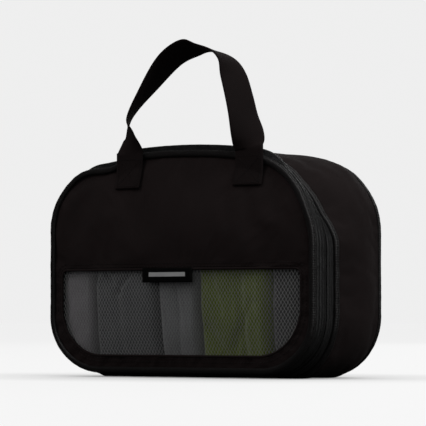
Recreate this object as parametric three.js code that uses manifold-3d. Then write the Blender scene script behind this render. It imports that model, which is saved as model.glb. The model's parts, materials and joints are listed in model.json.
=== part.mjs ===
// A small fabric packing cube: a soft zipped case with a see-through mesh window and a webbing handle.
// Millimetres, +Z up, front face towards -Y. The origin is on the floor, under the middle of the case.
import * as THREE from "three";
import { mergeVertices } from "three/addons/utils/BufferGeometryUtils.js";
import Module from "manifold-3d";

const wasm = await Module();
wasm.setup();

// ---------- driving dimensions ----------
const WIDTH = 255; // across the gusset at its widest
const SHOULDER_Z = 174; // top of the upper corners; the edge between them is drawn up a little more
const LEFT_RADIUS = 60.5; // upper corners, seen from the front: the right one has slumped rounder
const RIGHT_RADIUS = 75.5;
const TOP_RISE = THREE.MathUtils.degToRad(7); // slope of the top edge where it leaves a corner
const FOOT_RADIUS = 50; // lower corners
const FOOT_SINK = 2; // how far the round section is pressed flat where it stands
const FRONT_SEAM_Y = -46; // seam between the front panel and the zip
const BACK_SEAM_Y = 46; // seam between the gusset and the back panel
const ZIP_Y = -31; // the slit between the two zip tapes
const SLIT = 1; // width of that slit
const FRONT_CROWN = 9.5; // how far the stuffed panels bulge past their seams
const BACK_CROWN = 8;
const GAP = 0.3; // clearance between neighbouring pieces

// How far the fabric lies inside the outline, as [depth y, inset], on the sides, along the top and along the foot.
const SIDE_INSET = [
  [-48, 5.2], [-37, 3.3], [-31, 2.8], [-25, 3], [-19, 3.5], [-12, 2], [0, 0.3], [15, 0], [30, 1.2], [48, 5.2],
];
const TOP_INSET = [
  [-48, 5.2], [-42, 3], [-36, 0], [-31, -2], [-26, 0.5], [-19, 7], [-12, 6.5], [0, 4.5], [20, 3], [48, 3.5],
];
const FOOT_INSET = [[-48, 7.5], [-31, 3.5], [-19, 1.5], [-12, 0], [30, 0], [48, 5]];
// The soft right shoulder is dented in along the seam behind the zip, and full at the back.
const SHOULDER_DENT = [
  [-40, 0], [-31, 3], [-25, 6.5], [-19, 8.5], [-12, 7], [0, 3], [15, -1], [30, -4], [48, -4],
];
const LEFT_SLUMP = 7; // the left shoulder hangs this far below its round, just outside the handle
const SLUMP_FADE = 0.8; // how much of that is gone at the back
const LEAN = 6.5; // the handle draws the top of the front seam back by this much

const CLOTH = 1.2; // thickness of the padded fabric
const TAPE = 0.8; // zip tape
const NET = 0.6; // mesh fabric
const BINDING_WIDTH = 4.2; // bound seams, seen from outside
const BINDING_PROUD = 1.5;
const BINDING_DEEP = 3;
const GUSSET_BINDING_Y = -19; // front edge of the binding between the rear tape and the gusset

const COIL_WIDTH = 2.5;
const COIL_HEIGHT = 2;
const COIL_TOP = -TAPE - GAP; // the coils lie under the tape edges

const PANEL_CENTRE_Z = 88; // the crowned panels swell from here

// Window in the front panel.
const WINDOW_HALF = 112;
const WINDOW_TOP = 83;
const WINDOW_FOOT = 17;
const WINDOW_TOP_RADIUS = 5;
const WINDOW_FOOT_RADIUS = 38;
const WINDOW_SEAM = 6; // how far the net and its tape run on behind the fabric

// Woven label caught in the window's top seam.
const LABEL = { x: -4, width: 47, low: 73, high: 84 };

// Webbing handle.
const STRAP_WIDTH = 25;
const STRAP = 1.5;
const STRAP_END_Z = 146; // the sewn ends start here on the front panel
const STRAP_SEAM_Z = 171.9; // and stop above the bound seam, where the loop folds
const HANDLE_FOOT_Z = 173.8; // lower ends of the loop
const HANDLE_Y = -43.1;
const HANDLE_LEAN = 7.5; // the arch leans back by this much
// The middle of the strap: x, height above its feet, and how far its face has turned from forward to outward.
const HANDLE_LINE = [
  [-49, 0, 0],
  [-50.5, 12, 35],
  [-51.5, 26, 62],
  [-35.7, 48.2, 85],
  [-13.5, 72.5, 108],
  [2.5, 79.5, 115],
  [15, 79, 100],
  [30, 74.5, 96],
  [38.5, 68.5, 90],
  [45, 56, 72],
  [51, 40, 67],
  [56, 24.5, 62],
  [61, 10, 35],
  [63, 0, 0],
];

// Sliders and pulls.
const SLIDER_LENGTH = 11;
const SLIDER_PITCH = 12.5; // between the two sliders when the zip is shut
const SLIDER_Z = 97; // the upper slider's parking place, on the straight left side
const SLIDER_CLEAR = 0.8; // between the plates and the zip
const PLATE = 1.3;
const LINK_WIRE = 1.2;
const PULL_LENGTH = 27;
const PULL_HALF_WIDTH = 3.7;
const PULL = 2.6;

// Packed clothes, standing on their folded edges behind the window: width and colour of each.
const CLOTHES = [
  { name: "folded_shirt_light_grey", from: -112, to: -83, color: 0x8a8689 },
  { name: "folded_shirt_charcoal", from: -82, to: -20, color: 0x4a4b4e },
  { name: "folded_shirt_mid_grey", from: -19, to: 18, color: 0x66666a },
  { name: "folded_shirt_olive", from: 19, to: 82, color: 0x586338 },
  { name: "folded_shirt_dark_grey", from: 83, to: 110, color: 0x3d3d40 },
];
const CLOTHES_FOOT = 9;
const CLOTHES_TOP = 124;
const CLOTHES_FOOT_RADIUS = 40; // the outer garments follow the round lower corners of the case
const CLOTHES_TOP_RADIUS = 18;
const CLOTHES_BACK_Y = 36; // just inside the back panel
const CLOTHES_BEHIND = 5; // behind the front panel's outer face

// ---------- materials ----------
const finish = (color, roughness, metalness = 0) =>
  new THREE.MeshStandardMaterial({ color, roughness, metalness });
const shellFabric = finish(0x171313, 0.9);
const bindingFabric = finish(0x26282b, 0.8);
const tapeFabric = finish(0x1d1e20, 0.75);
const netFabric = finish(0x55565a, 0.7);
const webbing = finish(0x171414, 0.85);
const labelCloth = finish(0x0c0c0d, 0.6);
const coilNylon = finish(0x151618, 0.45);
const sliderMetal = finish(0x101011, 0.35, 0.8);
const pullRubber = finish(0x3a3a3d, 0.6);

// ---------- the outline, seen from the front ----------
// Runs from the left end of the flat foot, up the left side, over the top, down the right side, then back along the foot.
const half = WIDTH / 2;
const leftCorner = { x: -half + LEFT_RADIUS, z: SHOULDER_Z - LEFT_RADIUS };
const rightCorner = { x: half - RIGHT_RADIUS, z: SHOULDER_Z - RIGHT_RADIUS };

function outlinePath() {
  const footZ = FOOT_RADIUS - FOOT_SINK;
  const up = Math.PI / 2;
  const path = new THREE.Path();
  path.absarc(-half + FOOT_RADIUS, footZ, FOOT_RADIUS, -up, -Math.PI, true);
  path.lineTo(-half, leftCorner.z);
  path.absarc(leftCorner.x, leftCorner.z, LEFT_RADIUS, Math.PI, up + TOP_RISE, true);
  const start = path.currentPoint;
  const end = new THREE.Vector2(Math.sin(TOP_RISE), Math.cos(TOP_RISE)).multiplyScalar(RIGHT_RADIUS);
  end.add(new THREE.Vector2(rightCorner.x, rightCorner.z));
  const middle = (start.x + end.x) / 2;
  path.quadraticCurveTo(middle, start.y + (middle - start.x) * Math.tan(TOP_RISE), end.x, end.y);
  path.absarc(rightCorner.x, rightCorner.z, RIGHT_RADIUS, up - TOP_RISE, 0, true);
  path.lineTo(half, footZ);
  path.absarc(half - FOOT_RADIUS, footZ, FOOT_RADIUS, 0, -up, true);
  path.lineTo(-half + FOOT_RADIUS, -FOOT_SINK);
  return path;
}

// Points along the outline with their outward normals: { x, z, nx, nz }.
function stationsOf(curves, arcSteps = 8, lineStep = 26) {
  const stations = [];
  for (const curve of curves) {
    const steps = curve.isLineCurve ? Math.ceil(curve.getLength() / lineStep) : arcSteps;
    for (let i = 0; i <= steps; i++) {
      if (i === 0 && stations.length) continue;
      const p = curve.getPoint(i / steps);
      const t = curve.getTangent(i / steps);
      stations.push({ x: p.x, z: p.y, nx: -t.y, nz: t.x });
    }
  }
  return stations;
}

const OUTLINE_CURVES = outlinePath().curves.filter((curve) => curve.getLength() > 0.01);
const FOOT_RUN = OUTLINE_CURVES.length - 1; // the last curve is the flat foot, where the fabric hinge is
const wholeOutline = stationsOf(OUTLINE_CURVES).slice(0, -1);
const zipRun = stationsOf(OUTLINE_CURVES.slice(0, FOOT_RUN));
const footRun = stationsOf([OUTLINE_CURVES[FOOT_RUN]]);

const { lerp, smoothstep } = THREE.MathUtils;

// Reads a profile of [depth y, value] pairs.
function along(profile, y) {
  const next = profile.findIndex(([at]) => at >= y);
  if (next <= 0) return profile.at(next)[1];
  const [y0, a] = profile[next - 1];
  const [y1, b] = profile[next];
  return lerp(a, b, (y - y0) / (y1 - y0));
}

// How far the fabric lies inside the outline at a station and depth.
function inset(station, y) {
  const { x, nx, nz } = station;
  const side = along(SIDE_INSET, y);
  if (nz < 0) return lerp(side, along(FOOT_INSET, y), smoothstep(-nz, 0.3, 1));
  const shoulder = nx > 0 ? smoothstep(nz, 0, 0.5) * (1 - smoothstep(nz, 0.75, 1)) : 0;
  const slack = LEFT_SLUMP * (1 - SLUMP_FADE * smoothstep(y, -25, 10));
  const slump = slack * smoothstep(x, -108, -76) * (1 - smoothstep(x, -72, -48));
  return lerp(side, along(TOP_INSET, y), smoothstep(nz, 0.78, 1)) + shoulder * along(SHOULDER_DENT, y) + slump;
}

// The point at a station and depth, off outward from the fabric. Nothing goes through the floor.
function skinPoint(station, y, off, outermost) {
  const out = off - inset(station, y);
  const x = station.x + out * station.nx;
  const z = Math.max(station.z + out * station.nz, outermost - off);
  const drawn = LEAN * smoothstep(station.z, 130, 172) * (1 - smoothstep(y, -43.5, -32));
  return new THREE.Vector3(x, y + drawn, z);
}

// ---------- geometry builders ----------
function closedGeometry(points, triangles) {
  const geometry = new THREE.BufferGeometry();
  geometry.setAttribute("position", new THREE.Float32BufferAttribute(points.flatMap((p) => p.toArray()), 3));
  geometry.setIndex(signedVolume(points, triangles) < 0 ? turned(triangles) : triangles);
  return geometry;
}

function signedVolume(points, triangles) {
  const cross = new THREE.Vector3();
  let sum = 0;
  for (let i = 0; i < triangles.length; i += 3) {
    const [a, b, c] = [0, 1, 2].map((k) => points[triangles[i + k]]);
    sum += a.dot(cross.crossVectors(b, c));
  }
  return sum;
}

function turned(triangles) {
  const out = triangles.slice();
  for (let i = 0; i < out.length; i += 3) [out[i + 1], out[i + 2]] = [out[i + 2], out[i + 1]];
  return out;
}

// Joins rings of points into a closed skin. A run that isn't looped gets a cap at each end.
function loft(rings, looped) {
  const count = rings[0].length;
  const points = rings.flat();
  const triangles = [];
  const last = looped ? rings.length : rings.length - 1;
  for (let i = 0; i < last; i++) {
    const here = i * count;
    const next = ((i + 1) % rings.length) * count;
    for (let j = 0; j < count; j++) {
      const k = (j + 1) % count;
      triangles.push(here + j, next + j, next + k, here + j, next + k, here + k);
    }
  }
  if (!looped) {
    const end = (rings.length - 1) * count;
    for (let j = 1; j < count - 1; j++) {
      triangles.push(0, j, j + 1);
      triangles.push(end, end + j + 1, end + j);
    }
  }
  return closedGeometry(points, triangles);
}

// A band round the case. The section lists [depth y, offset outward from the fabric] in order round its edge.
function band(section, stations, looped) {
  const outermost = Math.max(0, ...section.map(([, off]) => off));
  const rings = stations.map((s) => section.map(([y, off]) => skinPoint(s, y, off, outermost)));
  return loft(rings, looped);
}

// The section of a flat strip of cloth between two depths.
function stripSection(fromY, toY, thickness, steps = 1) {
  const outer = [];
  const inner = [];
  for (let i = 0; i <= steps; i++) {
    const y = lerp(fromY, toY, i / steps);
    outer.push([y, 0]);
    inner.unshift([y, -thickness]);
  }
  return [...outer, ...inner];
}

// The section of a bound seam: a rib with rounded shoulders that stands proud of the fabric.
function bindingSection(fromY, toY) {
  const shoulder = 1.1;
  return [
    [fromY, -BINDING_DEEP],
    [fromY, BINDING_PROUD - shoulder],
    [fromY + shoulder, BINDING_PROUD],
    [toY - shoulder, BINDING_PROUD],
    [toY, BINDING_PROUD - shoulder],
    [toY, -BINDING_DEEP],
  ];
}

// The rim of a panel, just inside its binding.
const panelEdge = (seamY) => wholeOutline.map((s) => skinPoint(s, seamY, -BINDING_DEEP - GAP, -BINDING_DEEP - GAP));

// The depth of the front panel's outer face at x and z, found by scaling its rim about the panel's centre.
function panelFace(x, z) {
  const edge = panelEdge(FRONT_SEAM_Y);
  const dz = z - PANEL_CENTRE_Z;
  for (let i = 0; i < edge.length; i++) {
    const a = edge[i];
    const b = edge[(i + 1) % edge.length];
    const [az, bz] = [a.z - PANEL_CENTRE_Z, b.z - PANEL_CENTRE_Z];
    const whole = a.x * bz - az * b.x;
    const u = (x * bz - dz * b.x) / whole;
    const v = (a.x * dz - az * x) / whole;
    if (u < 0 || v < 0) continue;
    const t = u + v;
    const rim = t > 0 ? lerp(a.y, b.y, v / t) : a.y;
    return lerp(FRONT_SEAM_Y - FRONT_CROWN, rim, t * t);
  }
}

// A crowned sheet inside the seam at seamY, from one offset in depth to another. A negative crown bulges to the front.
function crownedSheet(seamY, crown, nearOff, farOff, rings = 6) {
  const edge = panelEdge(seamY);
  const side = (off) => {
    const points = [new THREE.Vector3(0, seamY + crown + off, PANEL_CENTRE_Z)];
    for (let r = 1; r <= rings; r++) {
      const t = r / rings;
      for (const e of edge) {
        const y = lerp(seamY + crown, e.y, t * t) + off;
        points.push(new THREE.Vector3(e.x * t, y, lerp(PANEL_CENTRE_Z, e.z, t)));
      }
    }
    return points;
  };
  const count = edge.length;
  const points = [...side(nearOff), ...side(farOff)];
  const far = 1 + rings * count;
  const triangles = [];
  const quad = (a, b, c, d) => triangles.push(a, b, c, a, c, d);
  for (let j = 0; j < count; j++) {
    const k = (j + 1) % count;
    triangles.push(0, 1 + j, 1 + k);
    triangles.push(far, far + 1 + k, far + 1 + j);
    for (let r = 0; r < rings - 1; r++) {
      const inner = 1 + r * count;
      const outer = inner + count;
      quad(inner + j, outer + j, outer + k, inner + k);
      quad(far + inner + k, far + outer + k, far + outer + j, far + inner + j);
    }
    const rim = 1 + (rings - 1) * count;
    quad(rim + j, far + rim + j, far + rim + k, rim + k);
  }
  return closedGeometry(points, triangles);
}

// ---------- booleans ----------
function solidOf(geometry) {
  const bare = geometry.clone();
  for (const name of Object.keys(bare.attributes)) if (name !== "position") bare.deleteAttribute(name);
  const merged = mergeVertices(bare, 1e-4);
  return new wasm.Manifold(
    new wasm.Mesh({
      numProp: 3,
      vertProperties: merged.attributes.position.array,
      triVerts: new Uint32Array(merged.index.array),
    }),
  );
}

function geometryOf(solid) {
  const mesh = solid.getMesh();
  const geometry = new THREE.BufferGeometry();
  geometry.setAttribute("position", new THREE.BufferAttribute(Float32Array.from(mesh.vertProperties), 3));
  geometry.setIndex(new THREE.BufferAttribute(Uint32Array.from(mesh.triVerts), 1));
  return geometry;
}

const joined = (...parts) => geometryOf(parts.map(solidOf).reduce((all, part) => all.add(part)));
const cut = (body, tool) => geometryOf(solidOf(body).subtract(solidOf(tool)));
const common = (a, b) => geometryOf(solidOf(a).intersect(solidOf(b)));

// A shape drawn in x and z, made into a prism that runs right through the case in y.
function prismThrough(shape, fromY = -90, toY = -20) {
  const geometry = new THREE.ExtrudeGeometry(shape, { depth: toY - fromY, bevelEnabled: false, curveSegments: 8 });
  return geometry.rotateX(Math.PI / 2).translate(0, toY, 0);
}

function roundedBox(x0, y0, x1, y1, lowRadius, highRadius = lowRadius) {
  const shape = new THREE.Shape();
  shape.moveTo(x0 + lowRadius, y0);
  shape.lineTo(x1 - lowRadius, y0);
  shape.absarc(x1 - lowRadius, y0 + lowRadius, lowRadius, -Math.PI / 2, 0);
  shape.lineTo(x1, y1 - highRadius);
  shape.absarc(x1 - highRadius, y1 - highRadius, highRadius, 0, Math.PI / 2);
  shape.lineTo(x0 + highRadius, y1);
  shape.absarc(x0 + highRadius, y1 - highRadius, highRadius, Math.PI / 2, Math.PI);
  shape.lineTo(x0, y0 + lowRadius);
  shape.absarc(x0 + lowRadius, y0 + lowRadius, lowRadius, Math.PI, Math.PI * 1.5);
  return shape;
}

const windowShape = (grow) =>
  roundedBox(
    -WINDOW_HALF - grow,
    WINDOW_FOOT - grow,
    WINDOW_HALF + grow,
    WINDOW_TOP + grow,
    WINDOW_FOOT_RADIUS + grow,
    WINDOW_TOP_RADIUS + grow,
  );

// ---------- sub-parts ----------
const parts = new THREE.Group();

function piece(name, geometry, material, parent = parts) {
  const mesh = new THREE.Mesh(geometry, material);
  mesh.name = name;
  parent.add(mesh);
  return mesh;
}

// Back shell: the gusset, the back panel and their bound seams.
function buildBackShell() {
  const gussetFront = GUSSET_BINDING_Y + BINDING_WIDTH + GAP;
  const gussetBack = BACK_SEAM_Y - BINDING_WIDTH / 2 - GAP;
  piece("gusset", band(stripSection(gussetFront, gussetBack, CLOTH, 6), wholeOutline, true), shellFabric);
  const gussetSeam = bindingSection(GUSSET_BINDING_Y, GUSSET_BINDING_Y + BINDING_WIDTH);
  piece("gusset_front_binding", band(gussetSeam, wholeOutline, true), bindingFabric);
  const backSeam = bindingSection(BACK_SEAM_Y - BINDING_WIDTH / 2, BACK_SEAM_Y + BINDING_WIDTH / 2);
  piece("back_binding", band(backSeam, wholeOutline, true), bindingFabric);
  piece("back_panel", crownedSheet(BACK_SEAM_Y, BACK_CROWN, -CLOTH, 0), shellFabric);
}

// Zip: two tapes with a nylon coil under each edge, and the fabric hinge along the foot where the zip stops.
function buildZip() {
  const frontEdge = FRONT_SEAM_Y + BINDING_WIDTH / 2 + GAP;
  const rearEdge = GUSSET_BINDING_Y - GAP;
  const slitFront = ZIP_Y - SLIT / 2;
  const slitRear = ZIP_Y + SLIT / 2;
  piece("zip_tape_front", band(stripSection(frontEdge, slitFront, TAPE, 4), zipRun, false), tapeFabric);
  piece("zip_tape_rear", band(stripSection(slitRear, rearEdge, TAPE, 4), zipRun, false), tapeFabric);
  const coilSection = (fromY) => {
    const top = COIL_TOP;
    const low = COIL_TOP - COIL_HEIGHT;
    const toY = fromY + COIL_WIDTH;
    const round = 0.6;
    return [
      [fromY, low + round],
      [fromY, top - round],
      [fromY + round, top],
      [toY - round, top],
      [toY, top - round],
      [toY, low + round],
      [toY - round, low],
      [fromY + round, low],
    ];
  };
  piece("zip_coil_front", band(coilSection(slitFront - 0.2 - COIL_WIDTH), zipRun, false), coilNylon);
  piece("zip_coil_rear", band(coilSection(slitRear + 0.2), zipRun, false), coilNylon);

  // The hinge strips stop short of the zip's ends by the usual gap.
  const between = footRun.map((s) => ({ ...s }));
  between[0].x -= GAP;
  between.at(-1).x += GAP;
  piece("hinge_strip_front", band(stripSection(frontEdge, slitFront, TAPE, 4), between, false), tapeFabric);
  piece("hinge_strip_rear", band(stripSection(slitRear, rearEdge, TAPE, 4), between, false), tapeFabric);
}

// Front cover: the panel with its window, net, inner tape, label and bound seam.
function buildFrontCover() {
  const panel = crownedSheet(FRONT_SEAM_Y, -FRONT_CROWN, 0, CLOTH);
  piece("front_panel", cut(panel, prismThrough(windowShape(0))), shellFabric);
  const seam = bindingSection(FRONT_SEAM_Y - BINDING_WIDTH / 2, FRONT_SEAM_Y + BINDING_WIDTH / 2);
  piece("front_binding", band(seam, wholeOutline, true), bindingFabric);

  const netNear = CLOTH + GAP;
  const tapeNear = netNear + NET + GAP;
  const net = crownedSheet(FRONT_SEAM_Y, -FRONT_CROWN, netNear, netNear + NET);
  piece("window_net", common(net, prismThrough(windowShape(WINDOW_SEAM))), netFabric);
  const frame = cut(prismThrough(windowShape(WINDOW_SEAM)), prismThrough(windowShape(0), -95, -15));
  const tape = crownedSheet(FRONT_SEAM_Y, -FRONT_CROWN, tapeNear, tapeNear + TAPE);
  piece("window_inner_tape", common(tape, frame), tapeFabric);

  const labelShape = roundedBox(
    LABEL.x - LABEL.width / 2,
    LABEL.low,
    LABEL.x + LABEL.width / 2,
    LABEL.high,
    0.6,
  );
  const labelSheet = crownedSheet(FRONT_SEAM_Y, -FRONT_CROWN, -GAP - TAPE, -GAP);
  piece("woven_label", common(labelSheet, prismThrough(labelShape)), labelCloth);
}

// Handle: a webbing loop that twists edge-on above each leg, and its two ends sewn to the front panel.
function buildHandle() {
  piece("handle_end_left", handleEnd(HANDLE_LINE[0][0]), webbing);
  piece("handle_end_right", handleEnd(HANDLE_LINE.at(-1)[0]), webbing);
  piece("handle_loop", handleLoop(), webbing);
}

// Lies on the panel, then runs straight up past the bound seam.
function handleEnd(x) {
  const rings = [];
  const levels = 7;
  for (let i = 0; i < levels; i++) {
    const z = lerp(STRAP_END_Z, STRAP_SEAM_Z, i / (levels - 1));
    const across = [-0.5, -0.17, 0.17, 0.5].map((w) => x + w * STRAP_WIDTH);
    const back = across.map((at) => new THREE.Vector3(at, strapBack(at, z), z));
    const face = back.map((p) => new THREE.Vector3(p.x, p.y - STRAP, p.z));
    rings.push([...back, ...face.reverse()]);
  }
  return loft(rings, false);
}

function strapBack(x, z) {
  const upright = HANDLE_Y + STRAP / 2;
  const onPanel = panelFace(x, z);
  return onPanel === undefined ? upright : Math.min(onPanel - GAP, upright);
}

function handleLoop() {
  const curve = new THREE.CatmullRomCurve3(
    HANDLE_LINE.map(([x, rise, turn]) => new THREE.Vector3(x, rise, turn)),
    false,
    "centripetal",
  );
  const top = Math.max(...HANDLE_LINE.map(([, rise]) => rise));
  const steps = 52;
  const forward = new THREE.Vector3(0, -1, 0);
  const centres = [];
  const turns = [];
  for (let i = 0; i <= steps; i++) {
    const { x, y: rise, z: turn } = curve.getPoint(i / steps);
    centres.push(new THREE.Vector3(x, HANDLE_Y + HANDLE_LEAN * (rise / top), HANDLE_FOOT_Z + rise));
    turns.push(THREE.MathUtils.degToRad(turn));
  }
  const rings = centres.map((centre, i) => {
    const tangent = centres[Math.min(i + 1, steps)].clone().sub(centres[Math.max(i - 1, 0)]).normalize();
    if (i === 0) tangent.set(0, 0, 1);
    if (i === steps) tangent.set(0, 0, -1);
    const outward = new THREE.Vector3().crossVectors(forward, tangent).normalize();
    const face = forward.clone().multiplyScalar(Math.cos(turns[i])).addScaledVector(outward, Math.sin(turns[i]));
    const width = new THREE.Vector3().crossVectors(face, tangent).normalize();
    const normal = new THREE.Vector3().crossVectors(tangent, width).normalize();
    const corner = (w, f) =>
      centre.clone().addScaledVector(width, (w * STRAP_WIDTH) / 2).addScaledVector(normal, (f * STRAP) / 2);
    return [corner(-1, -1), corner(1, -1), corner(1, 1), corner(-1, 1)];
  });
  return loft(rings, false);
}

// Slider geometry is drawn along its own axes: x towards the nose, y outward from the tape, z across the tape.
const PLATE_TOP = SLIDER_CLEAR + PLATE;
const CHANNEL_LOW = COIL_TOP - COIL_HEIGHT - SLIDER_CLEAR;
const PIVOT_HEIGHT = PLATE_TOP + 1.05;

// A shape in x and z, extruded down from the given height.
function slab(shape, top, thickness, curveSegments = 5) {
  const geometry = new THREE.ExtrudeGeometry(shape, { depth: thickness, bevelEnabled: false, curveSegments });
  return geometry.rotateX(Math.PI / 2).translate(0, top, 0);
}

function sliderGeometry() {
  const nose = SLIDER_LENGTH / 2;
  const outline = new THREE.Shape();
  outline.moveTo(-nose, -2.6);
  outline.lineTo(-1.5, -3.2);
  outline.lineTo(nose - 2.5, -4.3);
  outline.quadraticCurveTo(nose, -4.3, nose, -2.2);
  outline.lineTo(nose, 2.2);
  outline.quadraticCurveTo(nose, 4.3, nose - 2.5, 4.3);
  outline.lineTo(-1.5, 3.2);
  outline.lineTo(-nose, 2.6);
  const top = slab(outline, PLATE_TOP, PLATE);
  const low = slab(outline, CHANNEL_LOW, PLATE);
  const post = new THREE.BoxGeometry(5, PLATE_TOP - CHANNEL_LOW, 0.6);
  post.translate(1, (PLATE_TOP + CHANNEL_LOW) / 2 - 0.2, 0);

  // The bridge that the pull hangs from, an arch along the slider.
  const arch = new THREE.Shape();
  arch.moveTo(-4, -0.4);
  arch.quadraticCurveTo(-3.6, 2.9, -1.2, 3);
  arch.lineTo(1.2, 3);
  arch.quadraticCurveTo(3.6, 2.9, 4, -0.4);
  const eye = new THREE.Path();
  eye.moveTo(-2.4, 0.1);
  eye.lineTo(2.4, 0.1);
  eye.quadraticCurveTo(2.2, 2, 0.9, 2);
  eye.lineTo(-0.9, 2);
  eye.quadraticCurveTo(-2.2, 2, -2.4, 0.1);
  arch.holes.push(eye);
  const bridge = new THREE.ExtrudeGeometry(arch, { depth: 1.8, bevelEnabled: false, curveSegments: 5 });
  bridge.translate(0, PLATE_TOP, -0.9);
  return joined(top, low, post, bridge);
}

// A flat metal link. Its near bar sits in the bridge's eye, and its far bar is moulded into the pull.
function linkShape(grow) {
  const outer = roundedBox(-7.9 - grow, -2.9 - grow, 0.6 + grow, 2.9 + grow, 1);
  const inner = roundedBox(-7.9 + LINK_WIRE + grow, -1.7 + grow, 0.6 - LINK_WIRE - grow, 1.7 - grow, 0.5);
  outer.holes.push(inner);
  return outer;
}

const linkGeometry = () => slab(linkShape(0), PIVOT_HEIGHT + LINK_WIRE / 2, LINK_WIRE);

// The moulded pull: a round-ended bar with a raised rim round a sunken face.
function pullGeometry() {
  const near = -5.6;
  const far = near - PULL_LENGTH;
  const floor = PULL - 0.5;
  const bar = roundedBox(far, -PULL_HALF_WIDTH, near, PULL_HALF_WIDTH, 2.6);
  const rim = roundedBox(far, -PULL_HALF_WIDTH, near, PULL_HALF_WIDTH, 2.6);
  rim.holes.push(roundedBox(far + 1.3, 1.3 - PULL_HALF_WIDTH, near - 5.5, PULL_HALF_WIDTH - 1.3, 1.6));
  const base = slab(bar, PIVOT_HEIGHT - PULL / 2 + floor, floor);
  const edge = slab(rim, PIVOT_HEIGHT + PULL / 2, 0.6);
  const socket = slab(linkShape(0.2), PIVOT_HEIGHT + LINK_WIRE / 2 + 0.2, LINK_WIRE + 0.4);
  return cut(joined(base, edge), socket);
}

// Both sliders sit on the straight left side of the case with their noses together.
function buildSliders() {
  const side = { x: -half, nx: -1, nz: 0 };
  const tilt = Math.atan((inset(side, ZIP_Y - 3) - inset(side, ZIP_Y + 3)) / 6);
  for (const [level, z, nose] of [["upper", SLIDER_Z, -1], ["lower", SLIDER_Z - SLIDER_PITCH, 1]]) {
    const slider = new THREE.Group();
    slider.position.set(-half + inset(side, ZIP_Y), ZIP_Y, z);
    const along = new THREE.Vector3(0, 0, nose);
    const outward = new THREE.Vector3(-1, 0, 0);
    const across = new THREE.Vector3().crossVectors(along, outward);
    slider.quaternion.setFromRotationMatrix(new THREE.Matrix4().makeBasis(along, outward, across));
    slider.rotateX(nose * tilt);
    parts.add(slider);
    piece("slider_" + level, sliderGeometry(), sliderMetal, slider);
    piece("pull_link_" + level, linkGeometry(), sliderMetal, slider);
    piece("pull_tab_" + level, pullGeometry(), pullRubber, slider);
  }
}

// The packed clothes fill the case from front to back. Each is a folded block with rounded edges, and the
// crowned panel shapes its front.
function buildClothes() {
  const deep = CLOTHES_BACK_Y - FRONT_SEAM_Y + FRONT_CROWN;
  const room = crownedSheet(FRONT_SEAM_Y, -FRONT_CROWN, CLOTHES_BEHIND, deep);
  const shape = roundedBox(
    CLOTHES[0].from,
    CLOTHES_FOOT,
    CLOTHES.at(-1).to,
    CLOTHES_TOP,
    CLOTHES_FOOT_RADIUS,
    CLOTHES_TOP_RADIUS,
  );
  const space = solidOf(room).intersect(solidOf(prismThrough(shape, -90, CLOTHES_BACK_Y)));
  for (const { name, from, to, color } of CLOTHES) {
    const plan = roundedBox(from, -62, to, CLOTHES_BACK_Y, 5);
    const column = new THREE.ExtrudeGeometry(plan, {
      depth: CLOTHES_TOP - CLOTHES_FOOT,
      bevelEnabled: false,
      curveSegments: 5,
    });
    column.translate(0, 0, CLOTHES_FOOT);
    piece(name, geometryOf(space.intersect(solidOf(column))), finish(color, 0.95));
  }
}

buildBackShell();
buildZip();
buildFrontCover();
buildHandle();
buildSliders();
buildClothes();

export default parts;
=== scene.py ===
"""Looks for the small packing cube: a soft fabric case with a mesh window, a zip and a webbing handle.

Shapes are worked out in millimetres in the CAD's frame: +Z up, front face towards -Y, foot on the floor.
"""

import json
import math

import bpy
import numpy as np
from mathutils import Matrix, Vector
from mathutils.bvhtree import BVHTree

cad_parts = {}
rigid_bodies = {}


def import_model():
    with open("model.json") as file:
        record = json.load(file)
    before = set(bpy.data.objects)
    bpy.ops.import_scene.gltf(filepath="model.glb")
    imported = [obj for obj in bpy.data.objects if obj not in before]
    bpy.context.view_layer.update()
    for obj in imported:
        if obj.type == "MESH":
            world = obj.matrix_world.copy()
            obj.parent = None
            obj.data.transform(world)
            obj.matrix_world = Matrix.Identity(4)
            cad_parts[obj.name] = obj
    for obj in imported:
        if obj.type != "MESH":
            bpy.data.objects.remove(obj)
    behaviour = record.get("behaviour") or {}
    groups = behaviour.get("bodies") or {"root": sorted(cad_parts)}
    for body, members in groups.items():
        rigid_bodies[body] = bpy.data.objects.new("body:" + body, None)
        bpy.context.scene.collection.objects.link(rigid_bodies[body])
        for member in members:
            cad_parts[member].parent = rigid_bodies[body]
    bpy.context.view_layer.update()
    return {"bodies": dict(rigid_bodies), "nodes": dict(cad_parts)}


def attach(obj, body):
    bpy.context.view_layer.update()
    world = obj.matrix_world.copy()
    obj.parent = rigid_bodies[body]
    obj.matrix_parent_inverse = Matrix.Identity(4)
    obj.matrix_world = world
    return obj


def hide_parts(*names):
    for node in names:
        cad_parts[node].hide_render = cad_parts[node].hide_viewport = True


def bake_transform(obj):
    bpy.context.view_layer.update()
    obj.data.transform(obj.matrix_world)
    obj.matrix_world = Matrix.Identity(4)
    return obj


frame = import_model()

MM = 0.001

# ---------- shape of the case, as in the CAD ----------
HALF = 127.5
SHOULDER_Z = 174
LEFT_RADIUS = 60.5
RIGHT_RADIUS = 75.5
TOP_RISE = math.radians(7)
FOOT_RADIUS = 50
FOOT_SINK = 2
FRONT_SEAM_Y = -46
BACK_SEAM_Y = 46
ZIP_Y = -31
SLIT = 0.9
FRONT_CROWN = -9.5
BACK_CROWN = 8
PANEL_CENTRE_Z = 88
LEAN = 6.5
BINDING_WIDTH = 4.2
BINDING_PROUD = 1.5
GUSSET_BINDING_Y = -19
GAP = 0.3
CLOTH = 1.2
TAPE = 0.8
SEWN_IN = 0.6  # how far the edge of a sheet runs on inside its binding
PANEL_RIM = -1.9  # the rim of a panel, inside its binding
TAPE_FLOOR = 0.4  # how far tapes stay above the floor
PUCKER = 0.45  # the height of the small tucks along a sewn edge
PANEL_WAVE = 0.8  # the height of the slow waves in a panel

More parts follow.
